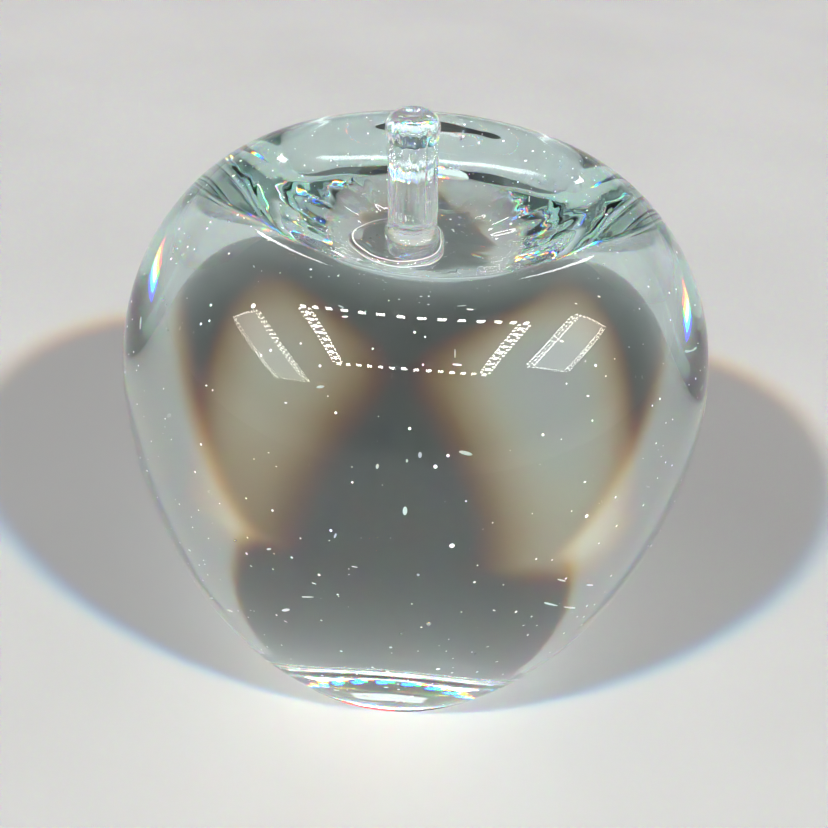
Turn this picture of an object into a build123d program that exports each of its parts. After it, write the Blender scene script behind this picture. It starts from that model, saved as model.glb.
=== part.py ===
from build123d import *
import os

# Apple-shaped paperweight: a solid glass body, a glass-rod stem and the clear resin that bonds the two.
# Millimetres, +Z up. The origin is the centre of the flat foot, and the body's axis is Z.

# Glass body, ring by ring from the foot to the crest of the shoulders
foot_radius = 25.5        # flat ground foot
foot_edge = 0.8           # seamed (rounded) edge of the foot
foot_flare = 36.0         # degrees from upright at which the flank leaves the foot
flank_radius = 33.5       # lower flank, where the apple draws in towards the foot
flank_height = 15.0
body_radius = 40.0        # widest ring
body_height = 46.0
shoulder_radius = 34.4
shoulder_height = 65.0
crest_radius = 22.5       # highest ring, where the shoulders turn over into the dimple
crest_height = 73.0

# Dimple
wall_radius = 16.4        # steepest ring of the dimple's wall
wall_height = 69.9
floor_radius = 10.0       # ring where the wall runs out into the floor
floor_rim_height = 66.6
floor_height = 66.0       # centre of the floor

# Stem, a drawn rod set by hand a little off the axis, with a fire-polished head and a plain peg end
stem_radius = 3.2
stem_head_radius = 3.4
stem_head_edge = 1.9      # radius of the melted edge of the head
stem_neck_height = 13.2   # lengths along the rod are measured from the dimple floor
stem_height = 16.9
peg_depth = 6.0
peg_chamfer = 0.3
stem_offset = -1.7        # X of the rod where it meets the dimple floor
stem_lean = 3.0           # degrees towards -X

# Bonding resin
film = 0.15               # radial thickness round the peg
film_under_peg = 0.5
pool_radius = 6.2
pool_centre = (-3.6, -2.6)
pool_thickness = 0.8      # above the centre of the dimple floor
pool_edge = 0.4           # rounding of the pool's rim
collar_height = 1.0       # meniscus on the rod, above the pool
collar_width = 1.0

stem_axis = Plane(origin=(stem_offset, 0, floor_height)).rotated((0, -stem_lean, 0))


def turned(outline, plane=Plane.XY):
    """Solid of revolution: the outline is (radius, height), turned about the plane's normal."""
    half_section = make_face(Plane.XZ * outline)
    return plane * revolve(half_section, Axis.Z)


def apple_blank():
    """The apple with its dimple, before the stem hole is drilled."""
    foot_rim = (foot_radius, foot_edge)
    widest = (body_radius, body_height)
    crest = (crest_radius, crest_height)
    floor = (0, floor_height)
    flare = Vector(0, 1).rotate(Axis.Z, -foot_flare)
    up = (0, 1)
    inward = (-1, 0)

    foot = Line((0, 0), (foot_radius - foot_edge, 0))
    edge = RadiusArc(foot @ 1, foot_rim, -foot_edge)
    flank = Spline(foot_rim, (flank_radius, flank_height), widest, tangents=[flare, up])
    shoulder = Spline(widest, (shoulder_radius, shoulder_height), crest, tangents=[up, inward])
    wall = (wall_radius, wall_height)
    floor_rim = (floor_radius, floor_rim_height)
    dimple = Spline(crest, wall, floor_rim, floor, tangents=[inward, inward])
    core = Line(floor, (0, 0))
    return turned(Curve() + [foot, edge, flank, shoulder, dimple, core])


def stem_rod():
    """Rod with a chamfered peg end and a head that the flame has drawn into a round-edged button."""
    peg_end = (0, -peg_depth)
    side_start = (stem_radius, peg_chamfer - peg_depth)
    neck = (stem_radius, stem_neck_height)
    head_side = (stem_head_radius, stem_height - stem_head_edge)
    head_top = (stem_head_radius - stem_head_edge, stem_height)

    end_face = Line(peg_end, (stem_radius - peg_chamfer, -peg_depth))
    chamfered_edge = Line(end_face @ 1, side_start)
    side = Line(side_start, neck)
    swell = Spline(neck, head_side, tangents=[(0, 1), (0, 1)])
    melted_edge = RadiusArc(head_side, head_top, -stem_head_edge)
    top = Line(head_top, (0, stem_height))
    core = Line((0, stem_height), peg_end)
    return turned(Curve() + [end_face, chamfered_edge, side, swell, melted_edge, top, core], stem_axis)


def stem_hole():
    """Blind hole for the peg and its film of resin, with its mouth above the pool."""
    depth = peg_depth + film_under_peg
    mouth = pool_thickness + collar_height
    hole = Cylinder(stem_radius + film, depth + mouth, align=(Align.CENTER, Align.CENTER, Align.MIN))
    return stem_axis * Pos(0, 0, -depth) * hole


def resin_pool():
    """Shallow round pool of resin in the bottom of the dimple, off to one side of the rod."""
    pool = Cylinder(pool_radius, 2 * pool_thickness)
    rim = pool.edges().group_by(Axis.Z)[-1]
    return Pos(*pool_centre, floor_height) * fillet(rim, pool_edge)


def resin_collar():
    """Concave meniscus where the rod stands out of the pool."""
    low = pool_thickness - pool_edge
    top = pool_thickness + collar_height
    outer = stem_radius + collar_width
    inner = stem_radius + film
    base = Line((0, low), (outer, low))
    skirt = Line((outer, low), (outer, pool_thickness))
    curve = RadiusArc((outer, pool_thickness), (inner, top), collar_height)
    lid = Line((inner, top), (0, top))
    core = Line((0, top), (0, low))
    return turned(Curve() + [base, skirt, curve, lid, core], stem_axis)


blank = apple_blank()
stem = stem_rod()
apple_body = blank - stem_hole()
stem_bond = resin_pool() + resin_collar() + stem_hole() - apple_body - stem

os.makedirs("parts", exist_ok=True)
export_step(apple_body, "parts/apple_body.step")
export_step(stem, "parts/stem.step")
export_step(stem_bond, "parts/stem_bond.step")
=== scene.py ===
import math
import random

import bpy
import numpy as np
from mathutils import Matrix, Vector


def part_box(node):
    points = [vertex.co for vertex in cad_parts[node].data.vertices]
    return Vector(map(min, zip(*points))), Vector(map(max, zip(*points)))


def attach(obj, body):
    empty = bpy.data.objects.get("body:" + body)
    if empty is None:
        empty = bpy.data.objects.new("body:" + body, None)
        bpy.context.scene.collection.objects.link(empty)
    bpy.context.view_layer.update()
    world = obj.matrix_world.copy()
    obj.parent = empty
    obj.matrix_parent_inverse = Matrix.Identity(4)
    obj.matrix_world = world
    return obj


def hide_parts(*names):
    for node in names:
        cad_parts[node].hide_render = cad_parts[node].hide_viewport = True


# Glass apple paperweight on a pale table. Metres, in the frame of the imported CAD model, +Z up.
# Each solid is a stack of rings: a ring is an array of points, and all rings have ROUND of them.

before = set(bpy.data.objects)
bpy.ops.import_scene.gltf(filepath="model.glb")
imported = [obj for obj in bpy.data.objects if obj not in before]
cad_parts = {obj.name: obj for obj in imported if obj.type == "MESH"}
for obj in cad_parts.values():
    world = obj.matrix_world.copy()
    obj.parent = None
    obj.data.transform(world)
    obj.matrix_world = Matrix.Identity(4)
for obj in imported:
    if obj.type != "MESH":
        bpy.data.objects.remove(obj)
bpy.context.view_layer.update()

body_low, body_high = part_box("apple_body")

# One nominal millimetre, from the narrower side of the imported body's faceted box
BODY_WIDTH_MM = 80
MM = min(body_high.x - body_low.x, body_high.y - body_low.y) / BODY_WIDTH_MM

# Driving dimensions, as in the CAD source. A pair is radius and height of a point of the outline
FOOT_RADIUS = 25.5 * MM
FOOT_EDGE = 0.8 * MM
FOOT_FLARE = math.radians(36)
FLANK = (33.5 * MM, 15 * MM)
WIDEST = (40 * MM, 46 * MM)
SHOULDER = (34.4 * MM, 65 * MM)
CREST = (22.5 * MM, 73 * MM)
WALL = (16.4 * MM, 69.9 * MM)
FLOOR_RIM = (10 * MM, 66.6 * MM)
DIMPLE_FLOOR = 66 * MM
ROD_RADIUS = 3.2 * MM
HEAD_RADIUS = 3.4 * MM
HEAD_EDGE = 1.9 * MM
NECK = 13.2 * MM
ROD_TOP = 16.9 * MM
PEG_DEPTH = 6 * MM
PEG_CHAMFER = 0.3 * MM
ROD_OFFSET = -1.7 * MM
ROD_LEAN = math.radians(3)
HOLE_RADIUS = 3.35 * MM
HOLE_DEPTH = 6.5 * MM
POOL_RADIUS = 6.2 * MM
POOL_CENTRE = (-3.6 * MM, -2.6 * MM)    # x and y
POOL_THICKNESS = 0.8 * MM
COLLAR_HEIGHT = 1.0 * MM
COLLAR_WIDTH = 1.0 * MM

# Details that only the visual model has
RIDGE_STEEPNESS = 0.14    # of the rod's draw lines
RIDGE_ROOM = 0.03         # the rod is this share thinner above the resin, to leave its ridges room
HEAD_DISH = 0.22 * MM     # the melted head sinks this much in the middle
DISH_RADIUS = 1.9 * MM
BLEND_RADIUS = 9.5 * MM   # inside it the dimple's rings drift over to the foot of the rod
BEAD_HEIGHT = 0.55 * MM   # of the pool's rim above the dimple floor beside it
BEAD_WIDTH = 0.6 * MM
SKIN = 0.02 * MM          # height of the pool's sharp outer edge
POOL_DISH = 0.12 * MM     # the pool sinks this much between its rim and the collar
NARROWEST_TOP = 0.05 * MM # width left between rim and collar on the side where the pool is narrow
TRAPPED_AIR = 0.8 * MM    # the resin doesn't fill the bottom corner of the hole
BITE = 0.02 * MM          # resin reaches this far into the glass, so that no air shows between them
ROD_BITE = 0.03 * MM      # and this much further into the rod, which thins just below the collar's head

ROUND = 320               # points in a ring
SHARP = 35                # degrees between faces above which an edge isn't smoothed

# The resin's rings, in order: hole end, hole wall, underside, bead, pool top, collar, peg wall
# and peg end. The radii of both ends are in nominal millimetres
HOLE_END_RADII = (0.5, 2.2, 2.9)
HOLE_WALL_RINGS = 12
UNDERSIDE_RINGS = 18
BEAD_RINGS = 14
POOL_TOP_RINGS = 20
COLLAR_RINGS = 14
PEG_WALL_RINGS = 16
PEG_END_RADII = (2.6, 1.5, 0.4)


# ---------------------------------------------------------------- curves and rings

def clamped_spline(points, start, end, steps):
    """Smooth curve through the points that leaves along start and arrives along end."""
    p = np.array(points, float)
    chords = np.linalg.norm(np.diff(p, axis=0), axis=1)
    n = len(p)
    matrix = np.zeros((n, n))
    right = np.zeros((n, 2))
    matrix[0, 0] = matrix[-1, -1] = 1
    right[0] = Vector(start).normalized()
    right[-1] = Vector(end).normalized()
    for i in range(1, n - 1):
        a, b = chords[i - 1], chords[i]
        matrix[i, i - 1:i + 2] = (b, 2 * (a + b), a)
        right[i] = 3 * (b * (p[i] - p[i - 1]) / a + a * (p[i + 1] - p[i]) / b)
    slopes = np.linalg.solve(matrix, right)
    out = []
    total = chords.sum()
    for i, h in enumerate(chords):
        count = max(4, round(steps * h / total))
        for t in np.linspace(0, 1, count, endpoint=False):
            out.append(
                (2 * t**3 - 3 * t**2 + 1) * p[i] + (t**3 - 2 * t**2 + t) * h * slopes[i]
                + (3 * t**2 - 2 * t**3) * p[i + 1] + (t**3 - t**2) * h * slopes[i + 1]
            )
    out.append(p[-1])
    return np.array(out)


def arc(centre, radius, start_deg, end_deg, steps):
    """Points on an arc in the (radius, height) plane."""
    turns = np.radians(np.linspace(start_deg, end_deg, steps))
    out, up = centre
    return np.array([(out + radius * math.cos(a), up + radius * math.sin(a)) for a in turns])


def smooth_step(low, high, value):
    """0 at low, 1 at high, with a soft start and end."""
    t = np.clip((value - low) / (high - low), 0, 1)
    return t * t * (3 - 2 * t)


ANGLES = np.linspace(0, 2 * math.pi, ROUND, endpoint=False)
CIRCLE = np.stack([np.cos(ANGLES), np.sin(ANGLES), np.zeros(ROUND)], axis=1)


def ring(radius, height, centre=(0, 0)):
    """Horizontal ring. Radius and height are numbers, or one value for each point."""
    points = CIRCLE * np.reshape(radius, (-1, 1))
    points = points + np.array([centre[0], centre[1], 0])
    points[:, 2] = height
    return points


def smooth_mesh(name, points, faces, sharp_deg):
    mesh = bpy.data.meshes.new(name)
    mesh.from_pydata(points, [], faces)
    mesh.shade_smooth()
    mesh.set_sharp_from_angle(angle=math.radians(sharp_deg))
    return mesh


def mesh_object(name, points, faces, sharp_deg=SHARP):
    piece = bpy.data.objects.new(name, smooth_mesh(name, points, faces, sharp_deg))
    bpy.context.scene.collection.objects.link(piece)
    return piece


def lofted(name, rings, sharp_deg=SHARP):
    """Mesh object with quads between the rings and a fan over each end."""
    points = [tuple(p) for r in rings for p in r]
    faces = []
    for k in range(len(rings) - 1):
        a, b = k * ROUND, (k + 1) * ROUND
        for i in range(ROUND):
            j = (i + 1) % ROUND
            faces.append((a + i, a + j, b + j, b + i))
    first, last = len(points), len(points) + 1
    points += [tuple(rings[0].mean(axis=0)), tuple(rings[-1].mean(axis=0))]
    end = (len(rings) - 1) * ROUND
    for i in range(ROUND):
        j = (i + 1) % ROUND
        faces.append((first, j, i))
        faces.append((last, end + i, end + j))
    return mesh_object(name, points, faces, sharp_deg)


def bubble_points(centre, radius, stretch, axis, rows, turns):
    """Points of an ellipsoid, row by row, with its two ends last."""
    turn = Vector((0, 0, 1)).rotation_difference(Vector(axis))
    points = []
    for i in range(1, rows):
        polar = math.pi * i / rows
        for j in range(turns):
            longitude = 2 * math.pi * j / turns
            local = Vector((
                radius * math.sin(polar) * math.cos(longitude),
                radius * math.sin(polar) * math.sin(longitude),
                radius * stretch * math.cos(polar),
            ))
            points.append(tuple(Vector(centre) + turn @ local))
    tip = turn @ Vector((0, 0, radius * stretch))
    return points + [tuple(Vector(centre) + tip), tuple(Vector(centre) - tip)]


def bubble_faces(start, rows, turns):
    """Faces of the ellipsoid whose points begin at that index."""
    last = start + (rows - 2) * turns
    top = last + turns
    bottom = top + 1
    faces = []
    for j in range(turns):
        k = (j + 1) % turns
        faces.append((top, start + k, start + j))
        faces.append((bottom, last + j, last + k))
        for i in range(rows - 2):
            a, b = start + i * turns, start + (i + 1) * turns
            faces.append((a + j, a + k, b + k, b + j))
    return faces


def add_bubbles(piece, bubbles, rows=12, turns=20):
    """Closed voids in the solid. A bubble is (centre, radius, length for its width, long axis)."""
    points = [tuple(v.co) for v in piece.data.vertices]
    faces = [tuple(f.vertices) for f in piece.data.polygons]
    for bubble in bubbles:
        faces += bubble_faces(len(points), rows, turns)
        points += bubble_points(*bubble, rows, turns)
    piece.data = smooth_mesh(piece.name, points, faces, SHARP)


# ---------------------------------------------------------------- the rod's own axis

ROD_FRAME = Matrix.Translation((ROD_OFFSET, 0, DIMPLE_FLOOR)) @ Matrix.Rotation(-ROD_LEAN, 4, "Y")


def on_rod(points):
    """Points given about the rod's axis, with height measured along it from the dimple floor."""
    turn = np.array(ROD_FRAME.to_3x3())
    return points @ turn.T + np.array(ROD_FRAME.translation)


# ---------------------------------------------------------------- apple body

def dimple_outline():
    inward = (-1, 0)
    return clamped_spline([CREST, WALL, FLOOR_RIM, (0, DIMPLE_FLOOR)], inward, inward, steps=150)


DIMPLE = dimple_outline()


def dimple_height(x, y):
    """Height of the dimple's surface inside the crest, with the ripples that the tool left."""
    r = np.hypot(x, y)
    turn = np.arctan2(y, x)
    height = np.interp(r, DIMPLE[::-1, 0], DIMPLE[::-1, 1])
    on_wall = smooth_step(3.5 * MM, 9 * MM, r) * (1 - smooth_step(17 * MM, 22 * MM, r))
    broad_spiral = 0.045 * np.sin(9 * turn + 0.6 + r / (2.6 * MM))
    counter_spiral = 0.035 * np.sin(14 * turn + 2.1 - r / (3.1 * MM))
    tool_rings = 0.012 * np.sin(r / (0.75 * MM) + 2 * np.sin(3 * turn))
    fine_flutes = 0.006 * np.sin(43 * turn + 1.3 * np.sin(r / (1.9 * MM)))
    ripple = broad_spiral + counter_spiral + tool_rings + fine_flutes
    return height + ripple * MM * on_wall


def body_rings():
    flare = (math.sin(FOOT_FLARE), math.cos(FOOT_FLARE))
    upward, inward = (0, 1), (-1, 0)
    foot_rim = (FOOT_RADIUS, FOOT_EDGE)
    foot_radii = (1, 8, 16, 22, 24.2, 24.6)
    rings = [ring(r * MM, 0) for r in foot_radii]
    edge_centre = (FOOT_RADIUS - FOOT_EDGE, FOOT_EDGE)
    outline = [
        arc(edge_centre, FOOT_EDGE, -90, 0, steps=12)[:-1],
        clamped_spline([foot_rim, FLANK, WIDEST], flare, upward, steps=110)[:-1],
        clamped_spline([WIDEST, SHOULDER, CREST], upward, inward, steps=110)[:-1],
    ]
    rings += [ring(r, z) for part in outline for r, z in part]
    rings += dimple_rings()
    rings += hole_rings()
    return rings


def dimple_rings():
    """From the crest inward to the rim of the peg's hole."""
    hole = on_rod(ring(HOLE_RADIUS, 0))
    hole_centre = hole.mean(axis=0)
    rings = []
    for r, _ in DIMPLE:
        if r < BLEND_RADIUS:
            break
        flat = ring(r, 0)
        flat[:, 2] = dimple_height(flat[:, 0], flat[:, 1])
        rings.append(flat)
    just_inside = 0.995
    for share in np.linspace(1, 0, 40):
        radius = HOLE_RADIUS + (BLEND_RADIUS - HOLE_RADIUS) * share * just_inside
        drift = 1 - smooth_step(0, 1, share)
        flat = ring(radius, 0, (hole_centre[0] * drift, hole_centre[1] * drift))
        flat[:, 2] = dimple_height(flat[:, 0], flat[:, 1])
        rings.append(flat)
    return rings


def hole_rings():
    """Blind hole for the peg, down to its flat end."""
    heights = (-0.3, -0.5, -1.5, -3, -4.5, -6, -6.3)
    end_insets = (0, 0.1, 1, 2.5)
    rings = [on_rod(ring(HOLE_RADIUS, h * MM)) for h in heights]
    rings += [on_rod(ring(HOLE_RADIUS - inset * MM, -HOLE_DEPTH)) for inset in end_insets]
    return rings


def apple_body():
    piece = lofted("apple_body_glass", body_rings())
    add_bubbles(piece, body_seeds(count=16, reach=34 * MM))
    return piece


def body_seeds(count, reach):
    """Tiny bubbles strewn through the body, nearer the axis where the foot narrows."""
    draw = random.Random(11)
    seeds = []
    for _ in range(count):
        turn = draw.uniform(0, 2 * math.pi)
        out = reach * math.sqrt(draw.uniform(0.02, 0.8))
        height = draw.uniform(9, 58) * MM
        out *= 0.8 if height < 18 * MM else 1
        centre = (out * math.cos(turn), out * math.sin(turn), height)
        axis = (draw.uniform(-0.3, 0.3), draw.uniform(-0.3, 0.3), 1)
        seeds.append((centre, draw.uniform(0.07, 0.2) * MM, draw.uniform(1, 1.5), axis))
    return seeds


# ---------------------------------------------------------------- stem

def stem_outline():
    """Radius and height along the rod, from the middle of the peg's end to that of the head."""
    upward = (0, 1)
    end_radii, top_radii = (0.5, 2, 2.8), (1.35, 1.1, 0.8, 0.5, 0.2)
    head_side = (HEAD_RADIUS, ROD_TOP - HEAD_EDGE)
    head_centre = (HEAD_RADIUS - HEAD_EDGE, ROD_TOP - HEAD_EDGE)
    end_face = [(r * MM, -PEG_DEPTH) for r in end_radii] + [(ROD_RADIUS - PEG_CHAMFER, -PEG_DEPTH)]
    side = [(ROD_RADIUS, h) for h in np.linspace(PEG_CHAMFER - PEG_DEPTH, NECK, 90)]
    swell = clamped_spline([(ROD_RADIUS, NECK), head_side], upward, upward, steps=14)
    melted = arc(head_centre, HEAD_EDGE, 0, 90, steps=26)
    top = [(r * MM, ROD_TOP) for r in top_radii]
    return np.vstack([end_face, side, swell[1:], melted[1:], top])


def draw_lines(height, count=18):
    """How far the ridges of drawn glass stand out at that height, as a share of the radius."""
    draw = random.Random(5)
    total = np.zeros(ROUND)
    for _ in range(count):
        waves = draw.randint(6, 40)
        phase = draw.uniform(0, 2 * math.pi)
        wander = draw.uniform(0.2, 0.8)
        length = draw.uniform(2, 6) * MM
        steepness = draw.uniform(0.01, RIDGE_STEEPNESS)
        drift = wander * math.sin(height / length + phase)
        total += steepness / waves * np.sin(waves * ANGLES + phase + drift)
    return total


def stem():
    rings = []
    for radius, height in stem_outline():
        above_resin = smooth_step(1.2 * MM, 2.4 * MM, height)
        below_top = 1 - smooth_step(ROD_TOP - 2.2 * MM, ROD_TOP, height)
        ridges = 1 + above_resin * below_top * (draw_lines(height) - RIDGE_ROOM)
        on_top = height > ROD_TOP - 0.01 * MM
        dish = -HEAD_DISH * smooth_step(DISH_RADIUS, 0, radius) if on_top else 0
        rings.append(on_rod(ring(radius * ridges, height + dish)))
    piece = lofted("stem_glass_rod", rings)
    add_bubbles(piece, rod_bubbles(count=14, reach=2.5 * MM))
    return piece


def rod_bubbles(count, reach):
    """Fine bubbles drawn out along the rod."""
    draw = random.Random(3)
    bubbles = []
    for _ in range(count):
        turn = draw.uniform(0, 2 * math.pi)
        out = reach * math.sqrt(draw.uniform(0, 1))
        height = draw.uniform(1.5, 14.2) * MM
        centre = on_rod(np.array([[out * math.cos(turn), out * math.sin(turn), height]]))[0]
        axis = ROD_FRAME.to_3x3() @ Vector((0, 0, 1))
        bubbles.append((centre, draw.uniform(0.04, 0.12) * MM, draw.uniform(1.5, 3.2), axis))
    return bubbles


# ---------------------------------------------------------------- resin

def pool_reach():
    """For each direction from the rod, how far the resin spreads over the dimple floor."""
    to_centre = np.array(POOL_CENTRE) - np.array([ROD_OFFSET, 0])
    along = CIRCLE[:, :2] @ to_centre
    pool = along + np.sqrt(POOL_RADIUS**2 - (to_centre @ to_centre - along**2))
    wobble = 1 - 0.02 * (1 + np.sin(3 * ANGLES + 0.8) * 0.6 + np.sin(7 * ANGLES) * 0.4)
    collar = ROD_RADIUS + COLLAR_WIDTH
    softness = 0.25 * MM
    return collar + np.logaddexp(0, (pool * wobble - collar) / softness) * softness


def hole_film():
    """The thin film round the peg: hole end, then up the hole's wall."""
    hole_end = -HOLE_DEPTH - BITE
    wall = HOLE_RADIUS + BITE
    heights = np.linspace(hole_end + TRAPPED_AIR, -0.35 * MM, HOLE_WALL_RINGS)
    rings = [on_rod(ring(r * MM, hole_end)) for r in HOLE_END_RADII]
    return rings + [on_rod(ring(wall, h)) for h in heights]


def pool_underside(reach, centre):
    """On the dimple floor, from the hole's mouth out to the pool's rim."""
    start = HOLE_RADIUS + BITE
    rings = []
    for share in np.linspace(0, 1, UNDERSIDE_RINGS):
        flat = ring(start + (reach - start) * share, 0, centre)
        flat[:, 2] = dimple_height(flat[:, 0], flat[:, 1]) - BITE
        rings.append(flat)
    return rings


def pool_bead(reach, centre, crest):
    """The rounded rim, from its sharp outer edge up to its crest."""
    rings = []
    for turn in np.linspace(0, math.pi / 2, BEAD_RINGS):
        flat = ring(reach - BEAD_WIDTH * (1 - math.cos(turn)), 0, centre)
        base = dimple_height(flat[:, 0], flat[:, 1])
        flat[:, 2] = base + SKIN + (crest - base - SKIN) * math.sin(turn)
        rings.append(flat)
    return rings


def pool_top(outer, inner, centre, crest, top):
    """From the bead's crest in to the collar, slightly dished where there is room."""
    roomy = smooth_step(0.3 * MM, 2 * MM, outer - (ROD_RADIUS + COLLAR_WIDTH))
    rings = []
    for share in np.linspace(0.05, 0.97, POOL_TOP_RINGS):
        settle = smooth_step(0, 0.45, share)
        level = crest + (top - crest) * settle - POOL_DISH * math.sin(math.pi * share) * roomy
        rings.append(ring(outer + (inner - outer) * share, level, centre))
    return rings


def rod_collar(inner, centre, top, rod_wall):
    """Fillet that climbs the rod, level at its foot and square to the leaning rod at its head."""
    rings = []
    for turn in np.linspace(0, math.pi / 2, COLLAR_RINGS):
        climb = COLLAR_HEIGHT * (1 - math.cos(turn))
        radius = inner + (rod_wall - inner) * math.sin(turn)
        leaning = on_rod(ring(radius, POOL_THICKNESS + climb))
        level = ring(radius, top + climb, centre)
        mix = smooth_step(0, 1, turn / (math.pi / 2))
        rings.append(level * (1 - mix) + leaning * mix)
    return rings


def resin_rings():
    reach = pool_reach()
    centre = on_rod(ring(HOLE_RADIUS + BITE, 0)).mean(axis=0)[:2]
    rod_wall = ROD_RADIUS - BITE - ROD_BITE
    peg_end = -PEG_DEPTH + BITE
    top = DIMPLE_FLOOR + POOL_THICKNESS
    outer = reach - BEAD_WIDTH
    inner = np.minimum(ROD_RADIUS + COLLAR_WIDTH, outer - NARROWEST_TOP)
    rim = ring(outer, 0, centre)
    crest = np.maximum(top, dimple_height(rim[:, 0], rim[:, 1]) + BEAD_HEIGHT)
    rings = hole_film()
    rings += pool_underside(reach, centre)
    rings += pool_bead(reach, centre, crest)
    rings += pool_top(outer, inner, centre, crest, top)
    rings += rod_collar(inner, centre, top, rod_wall)
    rings += [on_rod(ring(rod_wall, h)) for h in np.linspace(1.5 * MM, peg_end, PEG_WALL_RINGS)]
    rings += [on_rod(ring(r * MM, peg_end)) for r in PEG_END_RADII]
    return rings


def stem_bond():
    rings = resin_rings()
    piece = lofted("stem_bond_resin", rings, sharp_deg=50)
    add_bubbles(piece, pool_bubbles(count=9))
    hazy_edges(piece, len(rings))
    return piece


def pool_bubbles(count):
    """Small bubbles in the pool's front half, and one large flat one."""
    draw = random.Random(8)
    bubbles = []
    for _ in range(count):
        turn = draw.uniform(3.4, 5.6)
        out = draw.uniform(3.9, 6.8) * MM
        x = ROD_OFFSET + out * math.cos(turn)
        y = out * math.sin(turn)
        centre = (x, y, DIMPLE_FLOOR + draw.uniform(0.25, 0.45) * MM)
        bubbles.append((centre, draw.uniform(0.07, 0.2) * MM, 1, (0, 0, 1)))
    largest_centre = (-2.6 * MM, -5.7 * MM, DIMPLE_FLOOR + 0.38 * MM)
    bubbles.append((largest_centre, 0.3 * MM, 0.8, (0, 0, 1)))
    return bubbles


def hazy_edges(piece, ring_count):
    """Marks the resin's thin milky edges: both sides of the pool's rim, and the film's ends."""
    film_start = len(HOLE_END_RADII)
    film_end = film_start + HOLE_WALL_RINGS
    bead_start = film_end + UNDERSIDE_RINGS
    bead_end = bead_start + BEAD_RINGS
    peg_corner = ring_count - len(PEG_END_RADII) - 1
    milky = {
        film_start - 1: 0.5,
        film_start: 0.7,
        film_end - 1: 0.6,
        bead_start: 1.0,
        bead_start + 1: 0.6,
        bead_end - 2: 0.8,
        bead_end - 1: 0.9,
        peg_corner: 0.5,
    }
    haze = piece.data.attributes.new("haze", "FLOAT", "POINT")
    for ring_number, amount in milky.items():
        for i in range(ROUND):
            haze.data[ring_number * ROUND + i].value = amount


# ---------------------------------------------------------------- materials

class Nodes:
    """Short calls for building one material's node tree."""

    def __init__(self, name):
        self.material = bpy.data.materials.new(name)
        self.material.use_nodes = True
        self.tree = self.material.node_tree
        self.tree.nodes.clear()

    def add(self, kind, inputs=None, **settings):
        node = self.tree.nodes.new(kind)
        for key, value in settings.items():
            setattr(node, key, value)
        for key, value in (inputs or {}).items():
            self.put(node.inputs[key], value)
        return node

    def put(self, socket, value):
        if isinstance(value, bpy.types.NodeSocket):
            self.tree.links.new(value, socket)
        else:
            socket.default_value = value

    def maths(self, operation, a, b):
        return self.add("ShaderNodeMath", {0: a, 1: b}, operation=operation).outputs[0]

    def ramp(self, value, low, high, out_low, out_high):
        inputs = {"Value": value, "From Min": low, "From Max": high}
        inputs |= {"To Min": out_low, "To Max": out_high}
        return self.add("ShaderNodeMapRange", inputs, interpolation_type="SMOOTHSTEP").outputs[0]


def dust_mask(n, place, cells, speck, share):
    """1 on a share of the cells, as round specks of up to that radius in cell widths."""
    cell = n.add("ShaderNodeTexVoronoi", {"Vector": place, "Scale": cells})
    chance = n.add("ShaderNodeSeparateColor", {"Color": cell.outputs["Color"]})
    picked = n.maths("GREATER_THAN", chance.outputs[0], 1 - share)
    size = n.maths("MULTIPLY", chance.outputs[1], speck)
    near = n.maths("LESS_THAN", cell.outputs["Distance"], size)
    return n.maths("MULTIPLY", picked, near)


def scratch_mask(n, place, cells, turn, share):
    """1 on thin short lines in one direction, in a share of the cells."""
    stretch, half_width = (2, 16, 16), 0.09
    turned = n.add("ShaderNodeMapping", {"Vector": place, "Rotation": turn, "Scale": stretch})
    cell = n.add("ShaderNodeTexVoronoi", {"Vector": turned.outputs[0], "Scale": cells})
    chance = n.add("ShaderNodeSeparateColor", {"Color": cell.outputs["Color"]})
    picked = n.maths("GREATER_THAN", chance.outputs[2], 1 - share)
    near = n.maths("LESS_THAN", cell.outputs["Distance"], half_width)
    return n.maths("MULTIPLY", picked, near)


def specks_and_scratches(n, place, share):
    """1 where there is dust or a hairline scratch, and less where a piece's edge is milky."""
    fine = dust_mask(n, place, cells=900, speck=0.16, share=share)
    coarse = dust_mask(n, place, cells=330, speck=0.10, share=share * 0.6)
    lines = scratch_mask(n, place, cells=70, turn=(0.4, 0.9, 0.2), share=share * 0.2)
    more_lines = scratch_mask(n, place, cells=60, turn=(1.9, 0.3, 2.2), share=share * 0.2)
    dust = n.maths("MAXIMUM", fine, coarse)
    scratches = n.maths("MAXIMUM", lines, more_lines)
    specks = n.maths("MAXIMUM", dust, scratches)
    haze = n.add("ShaderNodeAttribute", attribute_name="haze").outputs["Fac"]
    return n.maths("MAXIMUM", specks, n.maths("MULTIPLY", haze, 0.7))


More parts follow.
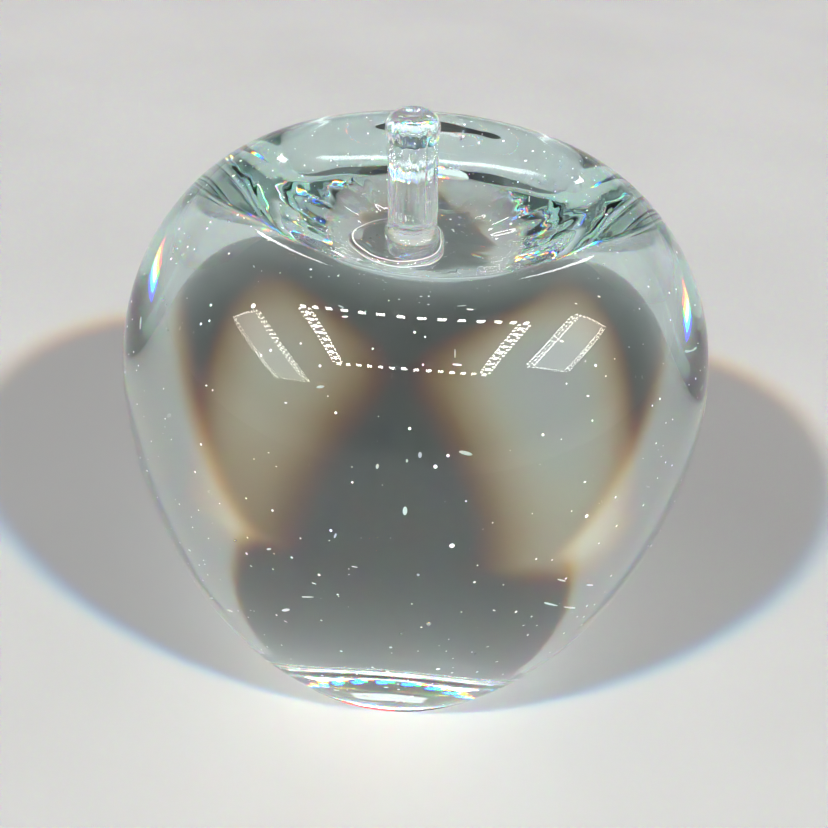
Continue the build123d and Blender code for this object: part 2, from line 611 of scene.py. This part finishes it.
def glass(name, ior, tint, density, dust_share, smudge, wave, wave_scale):
    """Clear glass with a faint tint, dust, hairline scratches, finger marks and slow surface waves."""
    n = Nodes(name)
    place = n.add("ShaderNodeTexCoord").outputs["Object"]
    specks = specks_and_scratches(n, place, dust_share)
    fingers = {"Vector": place, "Scale": 55, "Detail": 5, "Roughness": 0.62}
    handling = n.add("ShaderNodeTexNoise", fingers).outputs["Fac"]
    marks = n.ramp(handling, 0.52, 0.72, 0.0, smudge)
    waves = n.add("ShaderNodeTexNoise", {"Vector": place, "Scale": wave_scale, "Detail": 1.5})
    relief = {"Height": waves.outputs["Fac"], "Strength": 1.0, "Distance": wave}
    bump = n.add("ShaderNodeBump", relief)
    shader = n.add("ShaderNodeBsdfPrincipled", {
        "Base Color": (1, 1, 1, 1),
        "IOR": ior,
        "Roughness": n.maths("MAXIMUM", marks, n.maths("MULTIPLY", specks, 0.5)),
        "Transmission Weight": n.maths("SUBTRACT", 1.0, n.maths("MULTIPLY", specks, 0.75)),
        "Normal": bump.outputs[0],
    })
    depth = n.add("ShaderNodeVolumeAbsorption", {"Color": tint, "Density": density})
    out = n.add("ShaderNodeOutputMaterial")
    n.put(out.inputs["Surface"], shader.outputs[0])
    n.put(out.inputs["Volume"], depth.outputs[0])
    return n.material


def body_glass():
    return glass(
        "glass_body", ior=1.52, tint=(0.62, 0.93, 0.88, 1), density=3.8,
        dust_share=0.30, smudge=0.035, wave=0.00001, wave_scale=40,
    )


def stem_glass():
    return glass(
        "glass_stem", ior=1.52, tint=(0.7, 0.9, 0.85, 1), density=3.0,
        dust_share=0.12, smudge=0.05, wave=0.000012, wave_scale=420,
    )


def bond_resin():
    return glass(
        "resin_bond", ior=1.5, tint=(0.9, 0.88, 0.7, 1), density=6.0,
        dust_share=0.08, smudge=0.05, wave=0.00001, wave_scale=300,
    )


def table_top():
    """Pale, faintly mottled matt board."""
    darkest, palest = 0.235, 0.252
    n = Nodes("table_pale")
    place = n.add("ShaderNodeTexCoord").outputs["Object"]
    mottle = n.add("ShaderNodeTexNoise", {"Vector": place, "Scale": 14, "Detail": 6})
    tone = n.ramp(mottle.outputs["Fac"], 0.3, 0.7, darkest, palest)
    colour = n.add("ShaderNodeCombineColor", {0: tone, 1: tone, 2: tone})
    shader = n.add("ShaderNodeBsdfPrincipled", {"Base Color": colour.outputs[0], "Roughness": 0.6})
    out = n.add("ShaderNodeOutputMaterial")
    n.put(out.inputs["Surface"], shader.outputs[0])
    return n.material


# ---------------------------------------------------------------- stage

PRISM = ((-1, "red", (1, 0, 0)), (0, "green", (0, 1, 0)), (1, "blue", (0, 0, 1)))
PRISM_DIODES = (
    (-1, "red", (1, 0.1, 0)),
    (0, "green", (0, 0.85, 0.1)),
    (1, "blue", (0, 0.05, 0.9)),
)
DIODE_WHITE = (1, 0.99, 0.97)
MIDDLE = (0, 0, 0.05)      # of the apple, roughly, where the soft lights aim
BELOW_FOOT = -0.0001       # height of the table top, a tenth of a millimetre clear of the foot


def floor():
    half, z = 4.0, BELOW_FOOT
    corners = [(-half, -half, z), (half, -half, z), (half, half, z), (-half, half, z)]
    piece = mesh_object("table", corners, [(0, 1, 2, 3)])
    piece.data.materials.append(table_top())


def softbox(
    name, place, aim, size, power, colour=(1, 1, 1),
    mirrored=True, on_table=True, through_glass=True,
):
    """Rectangular soft light, with or without highlights, light on the table and light through glass."""
    light = bpy.data.lights.new(name, "AREA")
    light.shape = "RECTANGLE"
    light.size, light.size_y = size
    light.energy = power
    light.color = colour
    lamp = bpy.data.objects.new(name, light)
    lamp.location = place
    lamp.rotation_euler = (Vector(aim) - Vector(place)).to_track_quat("-Z", "Y").to_euler()
    lamp.visible_glossy = mirrored
    lamp.visible_diffuse = on_table
    lamp.visible_transmission = through_glass
    bpy.context.scene.collection.objects.link(lamp)
    return lamp


def around(azimuth, elevation, away):
    """Point that far from the middle of the foot. Azimuth 0 is the camera's side and 90 is +X."""
    turn, up = math.radians(azimuth), math.radians(elevation)
    flat = away * math.cos(up)
    return Vector((flat * math.sin(turn), -flat * math.cos(turn), away * math.sin(up)))


def distant_key(name, azimuth, elevation, spread, strength, fringe):
    """Distant soft key: three overlapping discs, red to blue, whose margins show as prism colours."""
    for shift, label, colour in PRISM:
        light = bpy.data.lights.new(f"{name}_{label}", "SUN")
        light.energy = strength
        light.color = colour
        light.angle = math.radians(spread)
        lamp = bpy.data.objects.new(light.name, light)
        place = around(azimuth + shift * fringe, elevation - shift * abs(fringe) / 2, 1)
        lamp.rotation_euler = (-place).to_track_quat("-Z", "Y").to_euler()
        lamp.visible_glossy = False
        lamp.visible_transmission = False
        bpy.context.scene.collection.objects.link(lamp)


def split_panel(name, azimuth, elevation, away, size, power, fringe):
    """Soft panel in three overlapping colours, seen only through the glass."""
    for shift, label, colour in PRISM:
        place = around(azimuth + shift * fringe, elevation + shift * abs(fringe), away)
        panel = softbox(
            f"{name}_{label}", place, (0, 0, 0.04), size, power, colour,
            mirrored=False, on_table=False,
        )
        panel.visible_camera = False


def diode_spots(centre, width, depth, spacing):
    """Middles of the square diodes round an overhead frame, and whether each is on its front side."""
    x, y, z = centre
    columns, rows = round(width / spacing), round(depth / spacing)
    across = [x - width / 2 + width * i / columns for i in range(columns + 1)]
    along = [y - depth / 2 + depth * i / rows for i in range(rows + 1)]
    spots = [((px, along[0], z), True) for px in across]
    spots += [((px, along[-1], z), False) for px in across]
    spots += [((side, py, z), False) for py in along[1:-1] for side in (across[0], across[-1])]
    return spots


def diodes(name, spots, size, colour, strength, shift=0.0):
    """Glowing squares that light passes through, so that shifted sets add up."""
    half = size / 2
    lift = shift / 20
    corners = ((-half, -half), (-half, half), (half, half), (half, -half))
    points, faces = [], []
    for x, y, z in spots:
        start = len(points)
        points += [(x + shift + dx, y + shift + dy, z + lift) for dx, dy in corners]
        faces.append((start, start + 1, start + 2, start + 3))
    piece = mesh_object(name, points, faces)
    n = Nodes(name)
    glow = n.add("ShaderNodeEmission", {"Color": (*colour, 1), "Strength": strength})
    clear = n.add("ShaderNodeBsdfTransparent")
    both = n.add("ShaderNodeAddShader", {0: glow.outputs[0], 1: clear.outputs[0]})
    out = n.add("ShaderNodeOutputMaterial")
    n.put(out.inputs["Surface"], both.outputs[0])
    piece.data.materials.append(n.material)
    piece.visible_diffuse = False
    return piece


def side_strips(centre, width, depth, count, apart):
    """Finer diodes, in two lines along each of the frame's left and right sides."""
    x, y, z = centre
    inset = 0.01
    along = np.linspace(y - depth / 2 + inset, y + depth / 2 - inset, count)
    sides = (x - width / 2, x + width / 2)
    return [(side + step * apart, py, z) for side in sides for py in along for step in (-1, 1)]


def diode_frame():
    """Overhead frame of diodes, white when mirrored and parted into colours when seen through glass."""
    centre, width, depth = (-0.01, -0.15, 0.34), 0.34, 0.23
    spots = diode_spots(centre, width, depth, spacing=0.027)
    fine_spots = side_strips(centre, width, depth, count=17, apart=0.011)
    squares = diodes("diodes_white", [s for s, _ in spots], 0.011, DIODE_WHITE, strength=45)
    strips = diodes("diode_strips", fine_spots, 0.006, DIODE_WHITE, strength=40)
    squares.visible_transmission = False
    strips.visible_transmission = False
    rear = [s for s, front in spots if not front]
    apart = 0.007
    for shift, label, colour in PRISM_DIODES:
        seen_through = diodes("diodes_" + label, rear, 0.011, colour, 24, shift * apart)
        seen_through.visible_glossy = False


def side_frame(name, centre, width, depth):
    """Neighbouring frame, mirrored in the shoulder as a streaky outline with a soft glow inside."""
    outline = [s for s, _ in diode_spots(centre, width, depth, spacing=0.014)]
    outline += side_strips(centre, width, depth, count=19, apart=0.010)
    edge = diodes(name, outline, 0.0055, (1, 1, 1), strength=26)
    edge.visible_transmission = False
    x, y, z = centre
    just_above, watts_per_area = 0.005, 8
    softbox(
        name + "_glow", place=(x, y, z + just_above), aim=(x, y, 0), size=(width, depth),
        power=width * depth * watts_per_area, on_table=False, through_glass=False,
    )


def surroundings(horizon=0.6, overhead=0.05, fade_end=0.3):
    """Studio with a pale horizon, as light as the table, and dim overhead."""
    world = bpy.data.worlds.new("studio")
    world.use_nodes = True
    tree = world.node_tree
    place = tree.nodes.new("ShaderNodeTexCoord")
    height = tree.nodes.new("ShaderNodeSeparateXYZ")
    shade = tree.nodes.new("ShaderNodeMapRange")
    shade.interpolation_type = "SMOOTHERSTEP"
    tree.links.new(place.outputs["Generated"], height.inputs[0])
    tree.links.new(height.outputs["Z"], shade.inputs["Value"])
    shade.inputs["From Min"].default_value = 0.0
    shade.inputs["From Max"].default_value = fade_end
    shade.inputs["To Min"].default_value = horizon
    shade.inputs["To Max"].default_value = overhead
    background = tree.nodes["Background"]
    tree.links.new(shade.outputs[0], background.inputs["Color"])
    bpy.context.scene.world = world


def soft_boxes():
    """The plain soft light, and the panels above and behind that only the glass sees or mirrors."""
    softbox("ceiling", place=(0, -0.08, 0.45), aim=(0, -0.08, 0), size=(0.55, 0.45), power=0.04)
    softbox("side_left", place=(-0.5, 0.05, 0.5), aim=MIDDLE, size=(0.4, 0.3), power=0.05)
    softbox("side_right", place=(0.5, 0.05, 0.5), aim=MIDDLE, size=(0.4, 0.3), power=0.05)
    softbox(
        "crown", place=(0, -0.12, 0.5), aim=MIDDLE, size=(0.22, 0.07), power=10.0,
        mirrored=False, on_table=False,
    )
    softbox(
        "overhead", place=around(180, 70, 0.55), aim=MIDDLE, size=(0.3, 0.25), power=0.25,
        mirrored=False, on_table=False,
    )
    for name, azimuth in (("rear_left", 163), ("rear_right", -163)):
        softbox(
            name, place=around(azimuth, 42, 0.6), aim=(0, 0, 0.06), size=(0.11, 0.02), power=0.07,
            on_table=False, through_glass=False,
        )


def studio():
    surroundings()
    diode_frame()
    side_frame("frame_left", centre=(-0.375, -0.19, 0.3), width=0.15, depth=0.29)
    side_frame("frame_right", centre=(0.305, -0.085, 0.3), width=0.15, depth=0.2)
    soft_boxes()
    key = {"elevation": 45, "spread": 3.3, "strength": 5.9}
    distant_key("key_left", azimuth=-48, fringe=1.1, **key)
    distant_key("key_right", azimuth=50, fringe=-1.1, **key)
    split_panel("through_back", 176, 60, away=0.57, size=(0.09, 0.05), power=1.2, fringe=2.5)
    split_panel("through_front_right", 25, 6, away=0.6, size=(0.08, 0.03), power=0.03, fringe=0.9)
    split_panel("through_front_left", -25, 6, away=0.6, size=(0.07, 0.03), power=0.03, fringe=-0.9)


def camera():
    """The photograph's eye: close, looking down on the front, and slightly rolled."""
    lens = bpy.data.cameras.new("view")
    lens.sensor_width = 36
    lens.lens = 47.4
    lens.clip_start, lens.clip_end = 0.005, 50
    eye = bpy.data.objects.new("view", lens)
    away = 0.160
    down = math.radians(38.2)
    roll = math.radians(4.4)
    aim = Vector((0.0003, 0.0004, 0.0365))
    back = Vector((0, -math.cos(down), math.sin(down)))
    eye.location = aim + back * away
    look = (-back).to_track_quat("-Z", "Y").to_matrix().to_4x4()
    turned = look @ Matrix.Rotation(roll, 4, "Z")
    eye.rotation_euler = turned.to_euler()
    bpy.context.scene.collection.objects.link(eye)
    bpy.context.scene.camera = eye


# ---------------------------------------------------------------- assembly

MANY_BOUNCES = 24    # light crosses the body, the resin and the rod before it reaches the eye

for make, material, node, slot in (
    (apple_body, body_glass, "apple_body", "body_glass"),
    (stem, stem_glass, "stem", "stem_glass"),
    (stem_bond, bond_resin, "stem_bond", "bond_resin"),
):
    piece = make()
    piece.data.materials.append(material())
    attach(piece, "root")
    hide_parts(node)

floor()
studio()
camera()

bpy.context.scene.view_settings.view_transform = "Standard"
cycles = bpy.context.scene.cycles
cycles.max_bounces = MANY_BOUNCES
cycles.transmission_bounces = MANY_BOUNCES
cycles.glossy_bounces = 12
